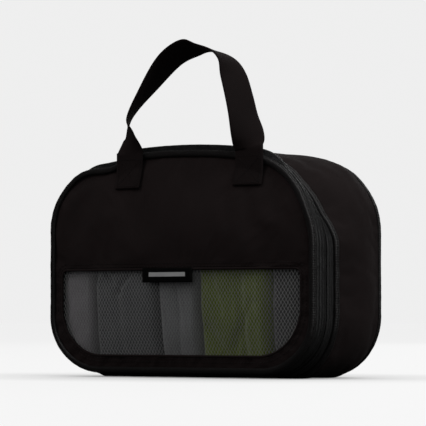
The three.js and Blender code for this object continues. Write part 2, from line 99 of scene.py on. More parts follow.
# How far the fabric lies inside the outline: depths y, then insets.
SIDE_INSET = ([-48, -37, -31, -25, -19, -12, 0, 15, 30, 48], [5.2, 3.3, 2.8, 3, 3.5, 2, 0.3, 0, 1.2, 5.2])
TOP_INSET = ([-48, -42, -36, -31, -26, -19, -12, 0, 20, 48], [5.2, 3, 0, -2, 0.5, 7, 6.5, 4.5, 3, 3.5])
FOOT_INSET = ([-48, -31, -19, -12, 30, 48], [7.5, 3.5, 1.5, 0, 0, 5])
SHOULDER_DENT = ([-40, -31, -25, -19, -12, 0, 15, 30, 48], [0, 3, 6.5, 8.5, 7, 3, -1, -4, -4])
LEFT_SLUMP = 7
SLUMP_FADE = 0.8

WINDOW = dict(half=112, low=17, high=83, low_radius=38, high_radius=5)
WINDOW_CENTRE = (0, 50)
LABEL = dict(x=-4, width=47, low=73, high=84)

STRAP_WIDTH = 25
STRAP = 1.5
STRAP_END_Z = 146
STRAP_SEAM_Z = 171.9
HANDLE_FOOT_Z = 173.8
HANDLE_Y = -43.1
HANDLE_LEAN = 7.5
# The middle of the strap: x, height above its feet, and how far its face has turned from forward to outward.
HANDLE_LINE = [
    (-49, 0, 0), (-50.5, 12, 35), (-51.5, 26, 62), (-35.7, 48.2, 85), (-13.5, 72.5, 108), (2.5, 79.5, 115),
    (15, 79, 100), (30, 74.5, 96), (38.5, 68.5, 90), (45, 56, 72), (51, 40, 67), (56, 24.5, 62), (61, 10, 35),
    (63, 0, 0),
]
HANDLE_FEET = (("left", -1, HANDLE_LINE[0][0]), ("right", 1, HANDLE_LINE[-1][0]))


# ---------- small sums ----------
def smooth(x, low, high):
    t = np.clip((np.asarray(x, float) - low) / (high - low), 0, 1)
    return t * t * (3 - 2 * t)


def mix(a, b, t):
    return a + (b - a) * t


def unit(rows):
    return rows / np.linalg.norm(rows, axis=-1, keepdims=True)


def xyz(x, y, z):
    return np.stack(np.broadcast_arrays(x, y, z), -1)


def closed(rows):
    return np.concatenate([rows, rows[:1]])


def quarter_round(share):
    """How far a rounded edge falls back: 1 at the edge, 0 where share reaches 1."""
    return 1 - np.sqrt(np.clip(1 - (1 - np.clip(share, 0, 1)) ** 2, 0, 1))


def arc_length(points, looped=False):
    """Distance along a row of points, with one more value at the end if the row is a loop."""
    if looped:
        points = closed(points)
    return np.concatenate([[0], np.cumsum(np.linalg.norm(np.diff(points, axis=0), axis=1))])


def read_rows(at, s, rows):
    """Values of rows, which lie at distances s, at other distances."""
    return np.stack([np.interp(at, s, rows[:, k]) for k in range(rows.shape[1])], -1)


def ripple(u, v, seed, size):
    """Smooth random waves between about -1 and 1, of the given size in the units of u and v."""
    random = np.random.default_rng(seed)
    total = 0
    for _ in range(7):
        angle = random.uniform(0, math.tau)
        pace = math.tau / (size * random.uniform(0.7, 1.6))
        phase = random.uniform(0, math.tau)
        total = total + np.sin((u * math.cos(angle) + v * math.sin(angle)) * pace + phase)
    return total / 4


def towards(x, y, z):
    """The same direction for every point."""
    return lambda points: np.tile([x, y, z], (len(points), 1))


forward = towards(0.0, -1.0, 0.0)


def outward(points):
    """Away from the long middle line of the case."""
    away = points.copy()
    away[:, 1] = 0
    away[:, 2] -= 80
    return away


# ---------- the outline, seen from the front: rows of x, z and the outward normal ----------
def arc(cx, cz, radius, start, end, step):
    count = max(2, round(abs(end - start) * radius / step))
    a = np.linspace(start, end, count + 1)
    return np.stack([cx + radius * np.cos(a), cz + radius * np.sin(a), np.cos(a), np.sin(a)], 1)


def straight(x0, z0, x1, z1, step):
    length = math.hypot(x1 - x0, z1 - z0)
    t = np.linspace(0, 1, max(2, round(length / step)) + 1)
    nx, nz = -(z1 - z0) / length, (x1 - x0) / length
    return np.stack(np.broadcast_arrays(mix(x0, x1, t), mix(z0, z1, t), nx, nz), 1)


def drawn_top(start, end, step):
    """The top edge, which the handle draws up between the two corners."""
    middle = (start[0] + end[0]) / 2
    peak = start[1] + (middle - start[0]) * math.tan(TOP_RISE)
    t = np.linspace(0, 1, max(2, round((end[0] - start[0]) / step)) + 1)
    p = [(1 - t) ** 2 * a + 2 * t * (1 - t) * b + t * t * c for a, b, c in
         ((start[0], middle, end[0]), (start[1], peak, end[1]))]
    dx = 2 * (1 - t) * (middle - start[0]) + 2 * t * (end[0] - middle)
    dz = 2 * (1 - t) * (peak - start[1]) + 2 * t * (end[1] - peak)
    length = np.hypot(dx, dz)
    return np.stack([p[0], p[1], -dz / length, dx / length], 1)


def zip_run(step):
    """From the left end of the flat foot, over the top, to its right end."""
    right_angle = math.pi / 2
    foot_z = FOOT_RADIUS - FOOT_SINK
    left = (-HALF + LEFT_RADIUS, SHOULDER_Z - LEFT_RADIUS)
    right = (HALF - RIGHT_RADIUS, SHOULDER_Z - RIGHT_RADIUS)
    corner = arc(*left, LEFT_RADIUS, math.pi, right_angle + TOP_RISE, step)
    shoulder = arc(*right, RIGHT_RADIUS, right_angle - TOP_RISE, 0, step)
    runs = [
        arc(-HALF + FOOT_RADIUS, foot_z, FOOT_RADIUS, -right_angle, -math.pi, step),
        straight(-HALF, foot_z, -HALF, left[1], step),
        corner,
        drawn_top(corner[-1], shoulder[0], step),
        shoulder,
        straight(HALF, right[1], HALF, foot_z, step),
        arc(HALF - FOOT_RADIUS, foot_z, FOOT_RADIUS, 0, -right_angle, step),
    ]
    return np.concatenate([runs[0]] + [run[1:] for run in runs[1:]])


def foot_run(step, shrink=0.0):
    x = HALF - FOOT_RADIUS - shrink
    return straight(x, -FOOT_SINK, -x, -FOOT_SINK, step)


def whole_outline(step):
    return np.concatenate([zip_run(step), foot_run(step)[1:-1]])


def sideways(stations):
    """The outward direction in space at each station."""
    return xyz(stations[:, 2], 0, stations[:, 3])


def profile(table, y, soften):
    """Reads an inset profile, averaged over a few millimetres where the fabric is soft."""
    if not soften:
        return np.interp(y, *table)
    return sum(np.interp(y + d, *table) for d in (-soften, -soften / 2, 0, soften / 2, soften)) / 5


def skin(stations, y, off, outermost=0.0, soften=0.0):
    """Points at stations and depth y, off outward from the fabric. Nothing goes through the floor."""
    sx, sz, nx, nz = np.moveaxis(stations, -1, 0)
    y, off = np.broadcast_arrays(np.asarray(y, float), np.asarray(off, float))
    side = profile(SIDE_INSET, y, soften)
    shoulder = np.where(nx > 0, smooth(nz, 0, 0.5) * (1 - smooth(nz, 0.75, 1)), 0)
    upper = mix(side, profile(TOP_INSET, y, soften), smooth(nz, 0.78, 1))
    upper = upper + shoulder * profile(SHOULDER_DENT, y, soften)
    slack = LEFT_SLUMP * (1 - SLUMP_FADE * smooth(y, -25, 10))
    upper = upper + slack * smooth(sx, -108, -76) * (1 - smooth(sx, -72, -48))
    lower = mix(side, profile(FOOT_INSET, y, soften), smooth(-nz, 0.3, 1))
    out = off - np.where(nz < 0, lower, upper)
    x = sx + out * nx
    z = np.maximum(sz + out * nz, outermost - off)
    drawn = LEAN * smooth(sz, 130, 172) * (1 - smooth(y, -43.5, -32))
    return xyz(x, y + drawn, z)


class Panel:
    """A crowned panel inside the seam at seam_y: gives the depth of its outer face at any x and z."""

    def __init__(self, seam_y, crown):
        self.middle = seam_y + crown
        inside = -BINDING_PROUD * 2 - GAP
        rim = skin(whole_outline(1.5), seam_y, inside, inside)
        angle = np.arctan2(rim[:, 2] - PANEL_CENTRE_Z, rim[:, 0])
        order = np.argsort(angle)
        self.angle = angle[order]
        self.reach = np.hypot(rim[:, 0], rim[:, 2] - PANEL_CENTRE_Z)[order]
        self.depth = rim[order, 1]

    def face(self, x, z):
        dz = np.asarray(z, float) - PANEL_CENTRE_Z
        angle = np.arctan2(dz, x)
        reach = np.interp(angle, self.angle, self.reach, period=math.tau)
        depth = np.interp(angle, self.angle, self.depth, period=math.tau)
        t = np.minimum(np.hypot(x, dz) / reach, 1)
        return mix(self.middle, depth, t * t)


front = Panel(FRONT_SEAM_Y, FRONT_CROWN)
back = Panel(BACK_SEAM_Y, BACK_CROWN)


def on_front(x, z, behind):
    """Points a little behind the front panel's face, or before it if behind is negative."""
    return xyz(x, front.face(x, z) + behind, z)


def window_contour(grow, step=1.0):
    """The rounded window opening, grown outward, as x and z."""
    half, low, high = WINDOW["half"] + grow, WINDOW["low"] - grow, WINDOW["high"] + grow
    r0, r1 = WINDOW["low_radius"] + grow, max(WINDOW["high_radius"] + grow, 0.5)
    right_angle = math.pi / 2
    runs = [
        arc(half - r0, low + r0, r0, -right_angle, 0, step),
        straight(half, low + r0, half, high - r1, step),
        arc(half - r1, high - r1, r1, 0, right_angle, step),
        straight(half - r1, high, -half + r1, high, step),
        arc(-half + r1, high - r1, r1, right_angle, math.pi, step),
        straight(-half, high - r1, -half, low + r0, step),
        arc(-half + r0, low + r0, r0, math.pi, math.pi * 1.5, step),
        straight(-half + r0, low, half - r0, low, step),
    ]
    return np.concatenate([run[:-1, :2] for run in runs])


def from_window(x, z):
    """Angle and distance from the middle of the window."""
    cx, cz = WINDOW_CENTRE
    return np.arctan2(z - cz, x - cx), np.hypot(x - cx, z - cz)


def round_window(angle, reach):
    """x and z at an angle and distance from the middle of the window."""
    cx, cz = WINDOW_CENTRE
    return cx + reach * np.cos(angle), cz + reach * np.sin(angle)


def contour_reach(contour, angle):
    """How far a contour lies from the middle of the window at each angle."""
    at, reach = from_window(contour[:, 0], contour[:, 1])
    order = np.argsort(at)
    return np.interp(angle, at[order], reach[order], period=math.tau)


# ---------- meshes ----------
def fill_in(thing, **values):
    for key, value in values.items():
        setattr(thing, key, value)
    return thing


def add_object(name, data):
    obj = bpy.data.objects.new(name, data)
    bpy.context.scene.collection.objects.link(obj)
    return obj


def make(name, points, faces, uv=None):
    """A mesh object from points in millimetres. uv has a pair of millimetres for each corner of each face."""
    mesh = bpy.data.meshes.new(name)
    mesh.from_pydata((np.asarray(points).reshape(-1, 3) * MM).tolist(), [], faces)
    layer = mesh.uv_layers.new(name="cloth")
    pairs = np.zeros((len(mesh.loops), 2)) if uv is None else np.asarray(uv)
    layer.data.foreach_set("uv", pairs.astype(np.float32).ravel())
    mesh.polygons.foreach_set("use_smooth", [True] * len(mesh.polygons))
    mesh.update()
    return add_object(name, mesh)


def grid(name, points, u, v, loop_u=False, loop_v=False, caps=False, facing=None, upright=False):
    """Joins rows of points into a skin. u and v say how far along and across each row and column lies.

    facing gives the outward direction at each point. A closed skin needs none. upright turns the weave."""
    rows, columns = points.shape[:2]
    flat = points.reshape(-1, 3)
    faces = []
    uv = []
    for i in range(rows if loop_u else rows - 1):
        i2 = (i + 1) % rows
        for j in range(columns if loop_v else columns - 1):
            j2 = (j + 1) % columns
            faces.append((i * columns + j, i2 * columns + j, i2 * columns + j2, i * columns + j2))
            uv.append(((u[i], v[j]), (u[i + 1], v[j]), (u[i + 1], v[j + 1]), (u[i], v[j + 1])))
    if caps:
        for row, order in ((0, range(columns)), (rows - 1, range(columns - 1, -1, -1))):
            faces.append(tuple(row * columns + j for j in order))
            uv.append(tuple((u[row], v[j]) for j in order))
    quads = flat[np.array([f for f in faces if len(f) == 4])]
    normal = np.cross(quads[:, 2] - quads[:, 0], quads[:, 3] - quads[:, 1])
    middle = quads.mean(1)
    wanted = facing(middle) if facing else middle
    if np.einsum("ij,ij->i", normal, wanted).sum() < 0:
        faces = [f[::-1] for f in faces]
        uv = [q[::-1] for q in uv]
    return make(name, flat, faces, [pair[::-1] if upright else pair for q in uv for pair in q])


def tube(name, path, first, second, radius, sides, looped):
    """A round cord along a path, from two directions across it."""
    turn = np.linspace(0, math.tau, sides, endpoint=False)[None, :, None]
    points = path[:, None] + radius * (first[:, None] * np.cos(turn) + second[:, None] * np.sin(turn))
    around = np.linspace(0, math.tau * radius, sides + 1)
    return grid(name, points, arc_length(path, looped), around, loop_u=looped, loop_v=True, caps=not looped)


def tube_faces(base, rings, sides):
    """Faces of a closed tube of rings of points, the first of which is number base."""
    faces = []
    last = base + (rings - 1) * sides
    for a in range(base, last, sides):
        for j in range(sides):
            j2 = (j + 1) % sides
            faces.append((a + j, a + j2, a + sides + j2, a + sides + j))
    return faces + [tuple(range(base + sides - 1, base - 1, -1)), tuple(range(last, last + sides))]


def vertices_of(obj):
    return np.array([v.co for v in obj.data.vertices])


def move_vertices(obj, co):
    obj.data.vertices.foreach_set("co", co.astype(np.float32).ravel())
    obj.data.update()


def evaluated_mesh(obj):
    return obj.evaluated_get(bpy.context.evaluated_depsgraph_get())


def thicken(obj, thickness, levels=1):
    """Gives a sheet its thickness, inward from its outer face, and rounds it."""
    solid = obj.modifiers.new("thickness", "SOLIDIFY")
    fill_in(solid, thickness=thickness * MM, offset=-1, use_even_offset=True)
    if levels:
        fill_in(obj.modifiers.new("rounding", "SUBSURF"), levels=levels, render_levels=levels)
    mesh = bpy.data.meshes.new_from_object(evaluated_mesh(obj))
    obj.modifiers.clear()
    obj.data = mesh
    return obj


def puff(obj, pinned, cap, spare=0.015):
    """Inflates a sheet of cloth between its pinned seams, with a little spare cloth so that it wrinkles.

    No point moves further than the cap, in millimetres."""
    frames = 20
    group = obj.vertex_groups.new(name="seams")
    group.add(np.flatnonzero(pinned).tolist(), 1.0, "REPLACE")
    rest = vertices_of(obj)
    cloth = obj.modifiers.new("cloth", "CLOTH")
    fill_in(cloth.settings, quality=6, mass=0.3, tension_stiffness=20, compression_stiffness=20,
            shear_stiffness=10, bending_stiffness=0.3, shrink_min=-spare, shrink_max=-spare,
            use_pressure=True, uniform_pressure_force=3.0, vertex_group_mass="seams")
    cloth.settings.effector_weights.gravity = 0
    fill_in(cloth.point_cache, frame_start=1, frame_end=frames)
    for number in range(1, frames + 1):
        bpy.context.scene.frame_set(number)
    moved = np.array([v.co for v in evaluated_mesh(obj).data.vertices]) - rest
    obj.modifiers.clear()
    bpy.context.scene.frame_set(1)
    length = np.linalg.norm(moved, axis=1, keepdims=True) + 1e-9
    limit = cap * MM
    move_vertices(obj, rest + moved / length * limit * np.tanh(length / limit))


def cloth_uv(obj):
    """Panels are flat enough for their weave to follow x and z."""
    corner = np.array([loop.vertex_index for loop in obj.data.loops])
    pairs = vertices_of(obj)[corner][:, [0, 2]] / MM
    obj.data.uv_layers["cloth"].data.foreach_set("uv", pairs.astype(np.float32).ravel())
    return obj


def give_material(obj, material):
    obj.data.materials.clear()
    obj.data.materials.append(material)


def dress(obj, material, body, slot, *nodes):
    """Gives a piece its material, the CAD body it rides on, and the CAD nodes it stands for."""
    give_material(obj, material)
    if body:
        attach(obj, body)
    if nodes:
        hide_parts(*nodes)


def stitches(name, path, normals, size, thread, body, slot, looped=False):
    """A row of sewn stitches on a surface: each one is a short thread whose ends dive into the cloth.

    size is the pitch of the stitches, their length, their radius and how far they stand up."""
    pitch, length, radius, lift = size
    if looped:
        path, normals = closed(path), closed(normals)
    s = arc_length(path)
    starts = np.arange(pitch / 2, s[-1] - length, pitch)
    along = np.array([0, 0.2, 0.5, 0.8, 1])
    thin = np.array([0.35, 0.9, 1, 0.9, 0.35]) * radius
    height = np.array([-1, 0.6, 1, 0.6, -1]) * lift
    sides = 6
    at = starts[:, None] + along * length
    centre = read_rows(at, s, path)
    normal = unit(read_rows(at, s, normals))
    tangent = unit(centre[:, -1:] - centre[:, :1])
    across = np.cross(normal, np.broadcast_to(tangent, normal.shape))
    centre = centre + normal * height[None, :, None]
    turn = np.linspace(0, math.tau, sides, endpoint=False)[:, None]
    spoke = across[:, :, None] * np.cos(turn) + normal[:, :, None] * np.sin(turn)
    points = centre[:, :, None] + spoke * thin[None, :, None, None]
    rings = len(along)
    faces = [face for k in range(len(starts)) for face in tube_faces(k * rings * sides, rings, sides)]
    dress(make(name, points, faces), thread, body, slot)


# ---------- materials ----------
class Nodes:
    """Adds nodes to a node tree."""

    def __init__(self, tree):
        self.tree = tree

    def node(self, kind, **values):
        return fill_in(self.tree.nodes.new(kind), **values)

    def put(self, socket, value):
        if isinstance(value, bpy.types.NodeSocket):
            self.tree.links.new(value, socket)
        else:
            socket.default_value = value

    def fill(self, kind, values, **settings):
        """A node whose first sockets take the values, and its first result."""
        node = self.node(kind, **settings)
        for socket, value in zip(node.inputs, values):
            self.put(socket, value)
        return node.outputs[0]

    def math(self, operation, a, b=0.0, c=0.0):
        return self.fill("ShaderNodeMath", (a, b, c), operation=operation)

    def range(self, value, low, high, to_low=0.0, to_high=1.0):
        return self.fill("ShaderNodeMapRange", (value, low, high, to_low, to_high))

    def split(self, vector):
        node = self.node("ShaderNodeSeparateXYZ")
        self.put(node.inputs[0], vector)
        return node.outputs


class Paint(Nodes):
    """Builds one node material. Distances in its patterns are millimetres of cloth."""

    def __init__(self, name):
        self.material = bpy.data.materials.new(name)
        self.material.use_nodes = True
        super().__init__(self.material.node_tree)
        self.surface = self.tree.nodes["Principled BSDF"]

    def cloth(self):
        """u along the cloth and v across it, in millimetres."""
        return self.split(self.node("ShaderNodeTexCoord").outputs["UV"])[:2]

    def place(self):
        """The point on the object, in millimetres."""
        scale = self.node("ShaderNodeVectorMath", operation="SCALE")
        self.put(scale.inputs[0], self.node("ShaderNodeTexCoord").outputs["Object"])
        scale.inputs["Scale"].default_value = 1 / MM
        return scale.outputs[0]

    def noise(self, vector, size, detail=3.0, rough=0.5):
        node = self.node("ShaderNodeTexNoise")
        for key, value in (("Vector", vector), ("Scale", 1 / size), ("Detail", detail), ("Roughness", rough)):
            self.put(node.inputs[key], value)
        return node.outputs["Fac"]

    def wave(self, distance, pitch):
        """A smooth wave from 0 to 1 that repeats every pitch."""
        angle = self.math("MULTIPLY", distance, math.tau / pitch)
        return self.math("MULTIPLY_ADD", self.math("SINE", angle), 0.5, 0.5)

    def away(self, value, centre):
        return self.math("ABSOLUTE", self.math("SUBTRACT", value, centre))

    def shift(self, value, amount, base):
        """Adds a value that lies about 0.5, as much above as below its middle."""
        return self.math("MULTIPLY_ADD", self.math("SUBTRACT", value, 0.5), amount, base)

    def blend(self, fac, a, b):
        node = self.node("ShaderNodeMix", data_type="RGBA")
        self.put(node.inputs["Factor"], fac)
        colours = [socket for socket in node.inputs if socket.type == "RGBA"]
        for socket, value in zip(colours, (a, b)):
            self.put(socket, value if isinstance(value, bpy.types.NodeSocket) else (*value, 1))
        return next(socket for socket in node.outputs if socket.type == "RGBA")

    def finish(self, colour, rough, height=None, relief=0.2, sheen=0.0, specular=0.3, metal=0.0):
        """Fills in the surface. relief is the depth of the pattern in millimetres."""
        values = {"Base Color": colour, "Roughness": rough, "Metallic": metal, "Specular IOR Level": specular,
                  "Sheen Weight": sheen, "Sheen Roughness": 0.45}
        if height is not None:
            bump = self.node("ShaderNodeBump")
            for key, value in (("Height", height), ("Strength", 0.9), ("Distance", relief * MM)):
                self.put(bump.inputs[key], value)
            values["Normal"] = bump.outputs["Normal"]
        for key, value in values.items():
            self.put(self.surface.inputs[key], value)
        return self.material


def grey(value, warm=0.0):
    return (value * (1 + warm), value, value * (1 - warm))


def woven(name, dark, light, pattern, relief, rough, sheen, specular, dust=0.35, patch=40, lint_share=0.25,
          painted_seam_shadows=(), painted_foot_shade=0.0):
    """Cloth: a thread pattern, colour that drifts from patch to patch, a little lint, and thread relief.

    Each of the painted seam shadows, a place across the cloth and a half width, is shade painted into the
    colour along a seam where no light gets in.
    The painted foot shade is how much darker the colour is painted towards the foot of the case, as shade of
    the light from above."""
    paint = Paint(name)
    u, v = paint.cloth()
    threads = pattern(paint, u, v)
    place = paint.place()
    fuzz = paint.noise(place, 1.3, 4.0, 0.7)
    tone = paint.shift(paint.noise(place, patch), dust * 2, threads)
    tone = paint.shift(fuzz, 0.35, tone)
    colour = paint.blend(paint.range(tone, 0, 1), dark, light)
    lint = paint.range(paint.noise(place, 0.8, 2.0, 0.8), 0.74, 0.8, 0, lint_share)
    colour = paint.blend(lint, colour, tuple(min(1, c * 2 + 0.004) for c in light))
    # Painted shadow: the colour darkens to near black along each seam line.
    for at, half_width in painted_seam_shadows:
        depth = paint.range(paint.away(v, at), half_width * 0.6, half_width, 1, 0)
        colour = paint.blend(depth, colour, grey(0.0003))
    # Painted shade: the colour is painted darker towards the foot of the case.
    if painted_foot_shade:
        painted_shade = paint.range(paint.split(place)[2], 5, 125, painted_foot_shade, 0)
        colour = paint.blend(painted_shade, colour, dark)
    height = paint.math("MULTIPLY_ADD", fuzz, 0.35, threads)
    roughness = paint.range(threads, 0, 1, min(1, rough + 0.08), rough - 0.05)
    return paint.finish(colour, roughness, height, relief, sheen, specular)


def plain_weave(pitch):
    def pattern(paint, u, v):
        over = paint.math("SUBTRACT", paint.wave(u, pitch), 0.5)
        under = paint.math("SUBTRACT", paint.wave(v, pitch), 0.5)
        return paint.math("MULTIPLY_ADD", paint.math("MULTIPLY", over, under), 2.0, 0.5)
    return pattern


def ribs(pitch, fine):
    """Grosgrain: round ribs across the tape, with fine threads along each rib."""
    def pattern(paint, u, v):
        rib = paint.math("MULTIPLY", paint.wave(u, pitch), 0.7)
        return paint.math("MULTIPLY_ADD", paint.wave(v, fine), 0.3, rib)
    return pattern


def herringbone(pitch, column):
    def pattern(paint, u, v):
        return paint.wave(paint.math("ADD", u, paint.math("PINGPONG", v, column)), pitch)
    return pattern


def knit(pitch):
    """Columns of small V stitches."""
    def pattern(paint, u, v):
        lean = paint.math("PINGPONG", u, pitch / 2)
        rows = paint.wave(paint.math("ADD", v, paint.math("MULTIPLY", lean, 1.2)), pitch * 0.85)
        return paint.math("MULTIPLY_ADD", paint.wave(u, pitch), 0.4, paint.math("MULTIPLY", rows, 0.6))
    return pattern


def thread(name, dark, light, rough, sheen, specular):
    return woven(name, dark, light, ribs(0.5, 0.3), 0.03, rough, sheen, specular, dust=0.1)


def label_cloth():
    """Black damask with one plain pale bar in the middle, and no lettering."""
    bar_half, bar_z, bar_half_height = 17, 0.6, 1.5
    paint = Paint("label")
    u, v = paint.cloth()
    weave = paint.wave(paint.math("ADD", u, v), 0.7)
    inside = lambda at, centre, half: paint.range(paint.away(at, centre), half, half + 0.25, 1, 0)
    bar = paint.math("MULTIPLY", inside(u, 0, bar_half), inside(v, bar_z, bar_half_height))
    bar = paint.math("MULTIPLY", bar, paint.range(paint.wave(u, 0.55), 0, 1, 0.65, 1))
    colour = paint.blend(paint.range(weave, 0, 1, 0.2, 1), grey(0.0008), grey(0.0025))
    colour = paint.blend(bar, colour, grey(0.42))
    return paint.finish(colour, 0.6, paint.math("ADD", weave, bar), relief=0.06, specular=0.06)


def moulded(name, dark, light, patch, grain, detail, rough, relief, specular):
    """Moulded nylon or rubber: mottled, with a fine grain."""
    paint = Paint(name)
    place = paint.place()
    fine = paint.noise(place, grain, detail)
    colour = paint.blend(paint.noise(place, patch), grey(dark), grey(light))
    return paint.finish(colour, paint.range(fine, 0.3, 0.7, *rough), fine, relief=relief, specular=specular)


def slider_enamel():
    """Black enamel, rubbed thin and paler along its edges."""
    paint = Paint("enamel")
    place = paint.place()
    wear = paint.noise(place, 3.0, 5.0, 0.65)
    edge = paint.range(paint.node("ShaderNodeNewGeometry").outputs["Pointiness"], 0.52, 0.6)
    rubbed = paint.math("MULTIPLY", edge, paint.range(wear, 0.4, 0.65))
    colour = paint.blend(rubbed, grey(0.006), grey(0.2))
    speckle = paint.noise(place, 0.25)
    roughness = paint.range(wear, 0.3, 0.7, 0.22, 0.4)
    return paint.finish(colour, roughness, speckle, relief=0.02, specular=0.5, metal=0.75)


# Painted shadow lines across the zip tape: behind the front binding, along the slit, and beside the gusset
# binding.
PAINTED_TAPE_SHADOWS = ((FRONT_SEAM_Y + 2.1, 4.4), (ZIP_Y, 1.7), (GUSSET_BINDING_Y, 2.0))
SHELL = woven("shell", (0.0084, 0.0058, 0.0058), (0.0180, 0.0128, 0.0128), plain_weave(0.62), relief=0.06,
              rough=0.85, sheen=0.014, specular=0.06)
# The binding and the zip tape are painted darker towards the foot, as shade.
BINDING = woven("binding", (0.0022, 0.0016, 0.0016), (0.0076, 0.0060, 0.0062), ribs(1.26, 0.5), relief=0.14,
                rough=0.45, sheen=0.01, specular=0.3, dust=0.3, painted_foot_shade=0.7)
ZIP_TAPE = woven("tape", grey(0.0010), grey(0.0160, -0.02), herringbone(0.9, 1.5), relief=0.18, rough=0.5,
                 sheen=0.015, specular=0.22, dust=1.1, patch=4, painted_seam_shadows=PAINTED_TAPE_SHADOWS, painted_foot_shade=0.85)
WEBBING = woven("webbing", (0.0068, 0.0048, 0.0048), (0.0148, 0.0106, 0.0106), herringbone(1.5, 3.1),
                relief=0.05, rough=0.85, sheen=0.008, specular=0.05, lint_share=0.02)
HINGE = woven("hinge", grey(0.0014), grey(0.008), ribs(1.0, 0.6), relief=0.08, rough=0.75, sheen=0.03,
              specular=0.12)
THREAD = thread("thread", (0.006, 0.0045, 0.0045), (0.013, 0.0105, 0.0105), 0.6, 0.02, 0.1)
DARK_THREAD = thread("dark_thread", grey(0.002), grey(0.006), 0.8, 0.01, 0.04)
NET = thread("net", grey(0.12), grey(0.34), 0.55, 0.08, 0.3)
LABEL_CLOTH = label_cloth()
COIL = moulded("coil", 0.004, 0.016, patch=1.5, grain=1.5, detail=3, rough=(0.28, 0.45), relief=0.03,
               specular=0.5)
ENAMEL = slider_enamel()
RUBBER = moulded("rubber", 0.02, 0.05, patch=5, grain=0.3, detail=2, rough=(0.5, 0.65), relief=0.05,
                 specular=0.4)


# ---------- case and cover ----------
def gusset():
    stations = whole_outline(3.4)
    first, last = GUSSET_BINDING_Y + BINDING_WIDTH - SEWN_IN, BACK_SEAM_Y - BINDING_WIDTH / 2 + SEWN_IN
    depths = np.linspace(first, last, 20)
    points = np.stack([skin(stations, y, 0, soften=3) for y in depths], 1)
    u = arc_length(points[:, 0], True)
    near = np.minimum(depths - depths[0], depths[-1] - depths)
    pucker = ripple(u[:-1, None], depths * 0.2, 3, 11) * np.exp(-near / 5) * PUCKER
    belly = ripple(u[:-1, None], depths, 5, 60) * np.minimum(near / 10, 1) * 0.9
    lift = (pucker + belly) * (near > 0)
    points[..., 0] += lift * stations[:, None, 2]
    points[..., 2] = np.maximum(points[..., 2] + lift * stations[:, None, 3], 0)
    obj = grid("gusset_cloth", points, u, depths, loop_u=True, facing=outward)
    pinned = points[..., 2] < 0.6
    pinned[:, [0, -1]] = True
    puff(obj, pinned.ravel(), cap=2.2)
    co = vertices_of(obj)
    co[:, 2] = np.maximum(co[:, 2], 0)
    move_vertices(obj, co)
    dress(thicken(obj, CLOTH), SHELL, "case", "shell_fabric", "gusset")


def binding(name, seam_from, body, node, seed):
    """A bound seam: grosgrain folded over the edges, ribbed, a little uneven, and sewn down its middle."""
    step, rib_pitch, sewn_at = 0.42, 1.26, 2.1
    stations = whole_outline(step)
    section = np.array([
        (0, -2.6), (0, -0.6), (0.1, 0.5), (0.55, 1.15), (1.2, 1.45), (1.75, 1.38), (sewn_at, 1.18),
        (2.45, 1.38), (3.0, 1.45), (3.65, 1.15), (4.1, 0.5), (BINDING_WIDTH, -0.6), (BINDING_WIDTH, -2.6),
        (sewn_at, -2.9),
    ])
    u = np.arange(len(stations)) * step
    rib = 0.11 * np.sin(u * math.tau / rib_pitch)
    sway = 0.22 * ripple(u, 0, seed, 26)
    rows = []
    for y, off in section:
        rise = np.where(off > 0, rib + 0.12 * ripple(u, y, seed + 1, 9), 0)
        rows.append(skin(stations, seam_from + y + sway * (off > -1), off + rise, BINDING_PROUD))
    points = np.stack(rows, 1)
    points[..., 2] = np.maximum(points[..., 2], 0)
    across = arc_length(section)
    across = np.append(across, across[-1] + 2)
    obj = grid(name, points, np.append(u, u[-1] + step), across, loop_u=True, loop_v=True)
    dress(obj, BINDING, body, "binding_fabric", node)
    sewn = skin(stations, seam_from + sewn_at + sway, 1.2, BINDING_PROUD)
    stitches(name + "_stitches", sewn[::4], sideways(stations)[::4], (3.4, 2.5, 0.2, 0.14), DARK_THREAD, body,
             "binding_fabric", looped=True)


def rim_pucker(along, from_rim, seed):
    """Small tucks along a sewn rim, which fade inward."""
    return PUCKER * ripple(along, from_rim * 0.15, seed, 10) * np.exp(-from_rim / 6) * (from_rim > 0.5)


def back_panel():
    """Even rows of quads: a square grid whose square rings are stretched out to the rim."""
    stations = whole_outline(2.0)
    rim = skin(stations, BACK_SEAM_Y, PANEL_RIM, PANEL_RIM)
    s = arc_length(rim, True)
    slants = ((-1, -1), (-1, 1), (1, 1), (1, -1))
    corners = [s[np.argmax(stations[:, 2] * nx + stations[:, 3] * nz)] for nx, nz in slants]
    corners.append(corners[0] + s[-1])
    cells = 64
    a, b = np.meshgrid(np.linspace(-1, 1, cells + 1), np.linspace(-1, 1, cells + 1), indexing="ij")
    ring = np.maximum(np.abs(a), np.abs(b))
    safe = np.maximum(ring, 1e-9)
    along = np.select([a <= -ring, b >= ring, a >= ring], [(b / safe + 1) / 2, 1 + (a / safe + 1) / 2,
                      2 + (1 - b / safe) / 2], 3 + (1 - a / safe) / 2)
    at = np.interp(along, range(5), corners) % s[-1]
    edge = read_rows(at, s, closed(rim)[:, [0, 2]])
    centre = np.array([0, PANEL_CENTRE_Z])
    flat = centre + ring[..., None] * (edge - centre)
    x, z = flat[..., 0], flat[..., 1]
    from_rim = (1 - ring) * np.linalg.norm(edge - centre, axis=-1)
    waves = PANEL_WAVE * ripple(x, z, 22, 55) * np.clip(from_rim / 12, 0, 1)
    y = back.face(x, z) + rim_pucker(at, from_rim, 21) + waves
    obj = grid("back_panel_cloth", xyz(x, y, z), range(cells + 1), range(cells + 1), facing=towards(0, 1, 0))
    puff(obj, (ring > 0.999).ravel(), cap=2.6, spare=0.02)
    dress(thicken(cloth_uv(obj), CLOTH), SHELL, "case", "shell_fabric", "back_panel")


